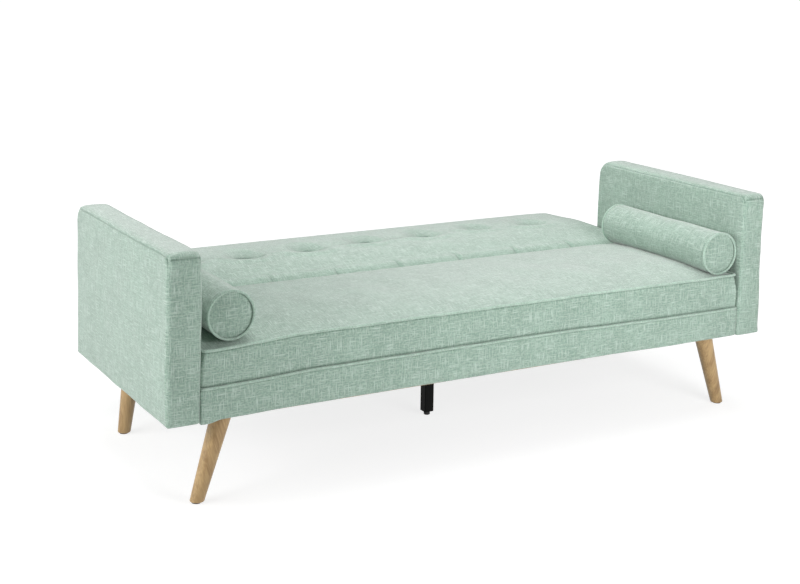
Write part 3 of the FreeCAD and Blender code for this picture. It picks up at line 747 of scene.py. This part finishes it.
make_piping("seat_top_piping", seat_edge_line(welt_height, seat_half - 0.0075, seat_face + 0.0012,
                                              0.000, 0.010), "base")
make_piping("seat_lower_piping", seat_edge_line(seam_height, seat_half - 0.0010, seat_face - 0.0024,
                                                0.000, 0.010), "base")


# Back cushion. One long cushion whose near edge rolls round the hinge line. Seven ties pull its
# top down in one row, and under each tie the cover is pleated on the roll. The tufts lie nearer the
# hinge than the knots of the ties, unevenly, and the strays say by how much each is off the row.
back_half = 0.829
pivot_y = 0.075
pivot_z = 0.365
nose_radius = 0.062
back_far = 0.495
back_bottom = 0.303
back_crown = 0.012
tuft_pitch = 0.207
tuft_y = 0.262
tuft_depth = 0.0250
tuft_reach = 0.062
tuft_strays = (-0.030, -0.030, -0.026, 0, 0, 0.018, 0)
near_slope = 0.0095
nose_end = 0.195
back_top_end = 0.579
back_roll_end = 0.640
back_cloth_end = 0.719
back_top_run = 0.384
back_roll_run = 0.061
back_rear_run = 0.079
ridge_run = 0.190
edge_drop = 0.007
far_roll_start = 0.459
far_roll_drop = 0.042
lip_rise = 0.0045
lip_line_back = 0.036
lip_line_half = 0.045
lip_line_dark = 0.75
pocket_dark = 0.38
pleat_deep = 0.0046
pleat_lip = 0.0016
pleat_dark = 0.28

back_rows = along_steps((0, nose_end, 44), (nose_end, back_top_end, 86),
                        (back_top_end, back_roll_end, 14), (back_roll_end, back_cloth_end, 12))
back_columns = 332
back, across, row = cloth_sheet("back_cover", len(back_rows) - 1, back_columns)
run = back_rows[np.round(row * (len(back_rows) - 1)).astype(int)]
x = (2 * across - 1) * back_half
from_end = back_half - np.abs(x)
drawn = 0.0028 * np.exp(-from_end / 0.010)
crown = 0.001 + (back_crown - 0.001) * (1 - np.exp(-np.maximum(from_end, 0) / 0.040))
angle = -math.pi / 2 - math.pi * np.clip(run / nose_end, 0, 1)
radius = nose_radius - drawn
on_nose = run <= nose_end
on_top = (run > nose_end) & (run <= back_top_end)
on_roll = (run > back_top_end) & (run <= back_roll_end)
over = np.clip((run - nose_end) / back_top_run, 0, 1)
turn = np.clip((run - back_top_end) / back_roll_run, 0, 1) * math.pi / 2
down = np.clip((run - back_roll_end) / back_rear_run, 0, 1)
y_top = pivot_y + back_top_run * over
ridge = pivot_y + ridge_run
top_z = pivot_z + radius + crown * (1 - ((y_top - ridge) / ridge_run) ** 2)
top_z += (0.34 * crown - edge_drop) * smooth_step((y_top - ridge) / 0.194)
edge_z = pivot_z + radius - edge_drop + 0.3 * crown
far = back_far - drawn
y = np.select([on_nose, on_top, on_roll],
              [pivot_y + radius * np.cos(angle), y_top,
               far_roll_start + (far - far_roll_start) * np.sin(turn)], far)
z = np.select([on_nose, on_top, on_roll],
              [pivot_z + radius * np.sin(angle), top_z, edge_z - far_roll_drop * (1 - np.cos(turn))],
              (edge_z - far_roll_drop) + (back_bottom - edge_z + far_roll_drop) * down)
z -= near_slope * np.exp(-((y - 0.062) / 0.075) ** 2) * smooth_step((z - 0.36) / 0.06)
place = np.stack([x, y, z], axis=1)
tuft_lines = [tuft_pitch * (i - 3) for i in range(7)]
shade = np.zeros(len(place))
# A tuft's darkness is partly painted on the cover: a pocket in its middle, and a line on its far
# wall, placed where the near lip meets that wall in the view of the photograph's camera.
for number, (tie_x, stray) in enumerate(zip(tuft_lines, tuft_strays)):
    dx, dy = place[:, 0] - tie_x, place[:, 1] - tuft_y - stray
    reach = np.hypot(dx, np.where(dy < 0, dy * 1.6, dy * 0.56)) / tuft_reach
    heading = np.arctan2(dy, dx)
    dip = tuft_depth * (1 - np.minimum(reach, 1) ** np.where(dy < 0, 1.1, 0.85))
    dip -= lip_rise * np.exp(-((reach - 1.35) / 0.38) ** 2) * (dy < 0)
    behind_lip = dy - lip_line_back * (1 - (dx / lip_line_half) ** 2)
    lip_line = lip_line_dark * np.exp(-(behind_lip / 0.009) ** 2)
    lip_line *= smooth_step((0.042 - np.abs(dx)) / 0.02)
    pocket = pocket_dark * np.exp(-(reach / 0.65) ** 2)
    shade = np.maximum(shade, np.where(on_top, np.maximum(pocket, lip_line), 0))
    folds = 0.0010 * np.cos(5 * heading + 1.3 * number) * np.exp(-((reach - 0.5) / 0.3) ** 2)
    place[:, 2] -= np.where(place[:, 2] > 0.38, dip + folds, 0)
    slant = 0.10 * (number % 3 - 1)
    along = place[:, 1] - 0.045
    groove = np.exp(-((dx - slant * along + 0.002) / 0.0050) ** 2) * np.exp(-(along / 0.034) ** 2)
    lips = np.exp(-((dx - slant * along - 0.011) / 0.009) ** 2) * np.exp(-(along / 0.030) ** 2)
    pleated = on_nose & (place[:, 2] > 0.37)
    push = np.where(pleated, pleat_deep * groove - pleat_lip * lips, 0)
    # Each pleat's groove is painted darker: painted shade.
    shade = np.maximum(shade, np.where(pleated, pleat_dark * groove, 0))
    away_y, away_z = place[:, 1] - pivot_y, place[:, 2] - pivot_z
    length = np.hypot(away_y, away_z) + 1e-9
    place[:, 1] -= away_y / length * push
    place[:, 2] -= away_z / length * push
fold_y = tuft_y - 0.014
steep = np.where(place[:, 1] < fold_y, 0.010, 0.045)
joined = 0.0016 + 0.0026 * smooth_step((0.32 - np.abs(place[:, 0] + 0.02)) / 0.10)
joined *= smooth_step((0.68 - np.abs(place[:, 0])) / 0.05)
place[:, 2] -= np.where(on_top, joined * np.exp(-((place[:, 1] - fold_y) / steep) ** 2), 0)
# The fold between the tufts is painted darker along its line: painted shade.
fold_shade = 60 * joined * np.exp(-((place[:, 1] - fold_y) / 0.006) ** 2)
shade = np.maximum(shade, np.where(on_top, fold_shade, 0))
place[:, 2] += np.where(on_top, soft_waves(place, 0.14, 0.0012, 41), 0) * (over * (1 - over) * 4)
move_points(back, place)
close_cover(back, ((0.002, 0.0016), (0.004, 0.0018), (0.010, 0.0022), (0.020, 0.0014)))
paint_crease_shade(back, np.r_[shade, np.zeros(len(back.data.vertices) - len(shade))])


def back_threads(at, facing, u, v):
    """On the rolled near edge the threads go round with it."""
    dy, dz = at[:, 1] - pivot_y, at[:, 2] - pivot_z
    around = pivot_y + nose_radius * (np.arctan2(dy, np.maximum(dz, -0.02)))
    rolled = (at[:, 1] < pivot_y) & (np.abs(facing[:, 0]) < 0.7)
    return u, np.where(rolled, around, v)


finish_cloth(back, "back_cover", "back", ["back_cushion"], threads=back_threads)


# Loose bolsters. Round pillows: a tube of linen round a fibre roll, with a disc at each end
# that is sewn in with piping.
rim_piping = 0.0033
rim_radius = bolster_radius - 0.0024


def make_bolster(side):
    axis_x, start_y = bolster_places[side]
    start_piece()
    bpy.ops.mesh.primitive_cylinder_add(vertices=96, radius=bolster_radius - 0.0006,
                                        depth=bolster_length - 0.006, end_fill_type="NGON",
                                        rotation=(math.pi / 2, 0, 0), location=(0, 0, 0))
    bolster = bpy.context.object
    bpy.ops.object.transform_apply(location=True, rotation=True, scale=True)
    bpy.ops.object.mode_set(mode="EDIT")
    ends = bolster_length / 2 - 0.003
    cut_across(1, along_steps((-ends + 0.002, -ends + 0.02, 6), (-ends + 0.02, ends - 0.02, 50),
                              (ends - 0.02, ends - 0.002, 6)))
    bpy.ops.mesh.select_mode(type="FACE")
    bpy.ops.mesh.select_all(action="DESELECT")
    bpy.ops.object.mode_set(mode="OBJECT")
    for face in bolster.data.polygons:
        face.select = abs(face.normal.y) > 0.9
    bpy.ops.object.mode_set(mode="EDIT")
    for step, inward in ((0.003, -0.0034), (0.004, 0.0), (0.006, 0.0018), (0.010, 0.0020),
                         (0.012, 0.0012), (0.012, 0.0006)):
        bpy.ops.mesh.inset(thickness=step, depth=inward, use_individual=True)
    bpy.ops.object.mode_set(mode="OBJECT")
    place = points_of(bolster)
    lengthwise = np.abs(place[:, 1])
    from_seam = ends - lengthwise
    round_about = np.arctan2(place[:, 2], place[:, 0])
    tube = np.hypot(place[:, 0], place[:, 2]) > bolster_radius - 0.002
    puckers = 0.0006 * np.sin(round_about * 19 + place[:, 1] * 8) * np.exp(-from_seam / 0.022)
    taper = -0.0036 * np.exp(-from_seam / 0.007) + puckers
    rim_gap = np.abs(np.hypot(place[:, 0], place[:, 2]) - (bolster_radius - 0.0036))
    # A thin ring beside each end's piping is painted darker: painted shade in the groove.
    rim_shade = 0.38 * np.exp(-(rim_gap / 0.0012) ** 2) * (from_seam < 0.006)
    grown = 1 + np.where(tube, (taper + soft_waves(place, 0.13, 0.0005, 51)) / bolster_radius, 0)
    place[:, 0] *= grown
    place[:, 2] *= grown
    place += [axis_x, start_y + bolster_length / 2, bolster_height]
    move_points(bolster, place)
    paint_crease_shade(bolster, rim_shade)

    def tube_threads(at, facing, u, v):
        around = np.arctan2(at[:, 2] - bolster_height, at[:, 0] - axis_x) * bolster_radius
        on_tube = np.abs(facing[:, 1]) < 0.5
        return np.where(on_tube, at[:, 1], at[:, 0]), np.where(on_tube, around, at[:, 2])

    finish_cloth(bolster, "bolster_cover_" + side, "bolster_" + side, ["bolster_" + side],
                 threads=tube_threads)
    for end, where in (("near", start_y + 0.0031), ("far", start_y + bolster_length - 0.0031)):
        rim = [(axis_x + rim_radius * math.cos(a), where, bolster_height + rim_radius * math.sin(a))
               for a in np.linspace(0, 2 * math.pi, 97)]
        make_piping("bolster_piping_" + end + "_" + side, rim, "bolster_" + side, rim_piping)


for side in bolster_places:
    make_bolster(side)


# Legs. Four tapered legs, turned in pale honey rubberwood with a clear satin lacquer, their grain
# along the leg. Each is screwed into its corner block by a hanger bolt. The solids keep their shape.
def grained_wood(name, light, dark, lean, fineness=1.0):
    wood = bpy.data.materials.new(name)
    wood.use_nodes = True
    tree = wood.node_tree
    shader = tree.nodes["Principled BSDF"]
    where = tree.nodes.new("ShaderNodeTexCoord")
    straight = tree.nodes.new("ShaderNodeMapping")
    straight.inputs["Rotation"].default_value = lean
    tree.links.new(where.outputs["Object"], straight.inputs["Vector"])
    grain = stretched_noise(tree, straight.outputs["Vector"],
                            (260 * fineness, 260 * fineness, 9 * fineness), 3.0)
    rings = stretched_noise(tree, straight.outputs["Vector"],
                            (45 * fineness, 45 * fineness, 2.5 * fineness), 1.0)
    pores = stretched_noise(tree, straight.outputs["Vector"], (900, 900, 60), 1.0)
    tone = math_node(tree, "ADD", math_node(tree, "MULTIPLY", grain, 0.55),
                     math_node(tree, "MULTIPLY", rings, 0.45))
    ramp = tree.nodes.new("ShaderNodeValToRGB")
    ramp.color_ramp.elements[0].position = 0.34
    ramp.color_ramp.elements[0].color = (*dark, 1)
    ramp.color_ramp.elements[1].position = 0.62
    ramp.color_ramp.elements[1].color = (*light, 1)
    tree.links.new(tone, ramp.inputs["Fac"])
    tree.links.new(ramp.outputs["Color"], shader.inputs["Base Color"])
    shader.inputs["Roughness"].default_value = 0.42
    shader.inputs["Coat Weight"].default_value = 0.15
    shader.inputs["Coat Roughness"].default_value = 0.3
    bump = tree.nodes.new("ShaderNodeBump")
    bump.inputs["Strength"].default_value = 0.25
    bump.inputs["Distance"].default_value = 0.0004
    tree.links.new(pores, bump.inputs["Height"])
    tree.links.new(bump.outputs["Normal"], shader.inputs["Normal"])
    return wood


def finish_node(name, material):
    node = cad[name]
    node.data.materials.clear()
    node.data.materials.append(material)


leg_light = (0.540, 0.366, 0.172)
leg_dark = (0.325, 0.198, 0.082)
leg_leans = {"leg_front_right": (0, -0.300, 0), "leg_front_left": (0, 0.300, 0),
             "leg_rear_right": (-0.068, -0.113, 0), "leg_rear_left": (-0.068, 0.113, 0)}
for name, lean in leg_leans.items():
    finish_node(name, grained_wood(name + "_wood", leg_light, leg_dark, lean))


# Frame. Bare pine rails and corner blocks, and plywood arm panels, screwed together and hidden
# under the cloth. The solids keep their shape, and a rail's grain runs along it.
pine_light = (0.640, 0.470, 0.270)
pine_dark = (0.500, 0.340, 0.180)
pine_along_x = grained_wood("pine_along_x", pine_light, pine_dark, (0, math.pi / 2, 0), 0.6)
pine_along_y = grained_wood("pine_along_y", pine_light, pine_dark, (math.pi / 2, 0, 0), 0.6)
plywood = grained_wood("plywood", pine_light, pine_dark, (0, 0, 0), 0.4)
for name in ("front_rail", "rear_rail", "seat_cross_rail", "back_lower_rail", "back_upper_rail"):
    finish_node(name, pine_along_x)
for name in ("centre_rail", "side_rail_left", "side_rail_right", "back_side_rail_left",
             "back_side_rail_right", "back_stiles", "corner_blocks"):
    finish_node(name, pine_along_y)
for name in ("arm_panel_left", "arm_panel_right", "arm_spacer_left", "arm_spacer_right"):
    finish_node(name, plywood)


# Steel, moulding, rubber, felt and thread. Zinc-plated fasteners, powder-coated hinge plates and
# pawls, drawn spring wire, the black centre leg, rubber feet, grey felt pads and mint tie thread.
def plain_finish(name, colour, other, metallic, roughness, grains, bump_height, gloss=0.5):
    finish = bpy.data.materials.new(name)
    finish.use_nodes = True
    tree = finish.node_tree
    shader = tree.nodes["Principled BSDF"]
    where = tree.nodes.new("ShaderNodeTexCoord")
    fleck = stretched_noise(tree, where.outputs["Object"], (grains, grains, grains), 3.0)
    ramp = tree.nodes.new("ShaderNodeValToRGB")
    ramp.color_ramp.elements[0].position = 0.35
    ramp.color_ramp.elements[0].color = (*colour, 1)
    ramp.color_ramp.elements[1].position = 0.65
    ramp.color_ramp.elements[1].color = (*other, 1)
    tree.links.new(fleck, ramp.inputs["Fac"])
    tree.links.new(ramp.outputs["Color"], shader.inputs["Base Color"])
    shader.inputs["Metallic"].default_value = metallic
    shader.inputs["Specular IOR Level"].default_value = gloss
    shader.inputs["Roughness"].default_value = roughness
    bump = tree.nodes.new("ShaderNodeBump")
    bump.inputs["Strength"].default_value = 0.3
    bump.inputs["Distance"].default_value = bump_height
    tree.links.new(fleck, bump.inputs["Height"])
    tree.links.new(bump.outputs["Normal"], shader.inputs["Normal"])
    return finish


zinc = plain_finish("zinc_plate", (0.62, 0.63, 0.64), (0.74, 0.75, 0.76), 1.0, 0.38, 500, 0.0001)
powder = plain_finish("black_powder_coat", (0.030, 0.030, 0.032), (0.045, 0.045, 0.048),
                      0.0, 0.45, 1500, 0.0002)
wire = plain_finish("spring_wire", (0.20, 0.20, 0.21), (0.32, 0.32, 0.33), 1.0, 0.35, 700, 0.0001)
moulding = plain_finish("black_moulding", (0.0040, 0.0042, 0.0038), (0.0065, 0.0068, 0.0062),
                        0.0, 0.60, 1200, 0.0002, 0.12)
rubber = plain_finish("black_rubber", (0.020, 0.020, 0.020), (0.035, 0.035, 0.034),
                      0.0, 0.75, 900, 0.0002)
felt = plain_finish("grey_felt", (0.22, 0.22, 0.23), (0.38, 0.38, 0.38), 0.0, 0.95, 700, 0.0006)
finishes = {
    zinc: ("arm_bolts", "arm_tee_nuts", "leg_bolts", "leg_tee_nuts", "centre_leg_screws",
           "hinge_seat_screws", "hinge_back_screws", "hinge_washers", "pawl_pins",
           "hinge_pin_left", "hinge_pin_right"),
    powder: ("hinge_seat_plate_left", "hinge_seat_plate_right", "hinge_back_plate_left",
             "hinge_back_plate_right", "pawl_left", "pawl_right"),
    wire: ("seat_springs", "back_springs", "seat_spring_clips", "back_spring_clips",
           "pawl_springs"),
    moulding: ("centre_leg",),
    rubber: ("centre_leg_foot", "leg_glides"),
    felt: ("seat_spring_pad", "back_spring_pad"),
}
for finish, names in finishes.items():
    for name in names:
        finish_node(name, finish)
tie_thread = plain_finish("mint_thread", linen_deep, linen_mid, 0.0, 0.85, 1500, 0.0002)
finish_node("tuft_ties", tie_thread)


# Linings. Black non-woven sheets, one stapled under the base against dust and one under the back,
# both pulled tight, with a slight sag between the rails and small puckers at the staples.
lining = plain_finish("black_lining", (0.018, 0.018, 0.019), (0.040, 0.040, 0.042),
                      0.0, 0.90, 1100, 0.0003)
lining_half = 0.826
lining_thickness = 0.0005
staple_pitch = 0.045


def make_lining(name, node, body, near, far, height, sag):
    start_piece()
    bpy.ops.mesh.primitive_grid_add(x_subdivisions=180, y_subdivisions=48, size=1)
    sheet = bpy.context.object
    flat = points_of(sheet)
    x, depth = 2 * lining_half * flat[:, 0], flat[:, 1] + 0.5
    y = near + (far - near) * depth
    from_edge = np.minimum(np.minimum(y - near, far - y), lining_half - np.abs(x))
    puckers = 0.0004 * np.sin(2 * math.pi * (x + y) / staple_pitch) * np.exp(-from_edge / 0.012)
    z = height - sag * (1 - (x / lining_half) ** 4) * 4 * depth * (1 - depth) + puckers
    move_points(sheet, np.stack([x, y, z], axis=1))
    thick = sheet.modifiers.new("thickness", "SOLIDIFY")
    thick.thickness = lining_thickness
    thick.offset = 0
    bpy.ops.object.modifier_apply(modifier="thickness")
    bpy.ops.object.shade_smooth_by_angle(angle=math.radians(50))
    sheet.name = sheet.data.name = name
    sheet.data.materials.clear()
    sheet.data.materials.append(lining)
    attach(sheet, body)
    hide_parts(node)


make_lining("dust_cover_sheet", "dust_cover", "base", -0.466, 0.173, 0.2215, 0.0012)
make_lining("back_lining_sheet", "back_lining", "back", 0.075, 0.483, 0.3045, 0.0012)
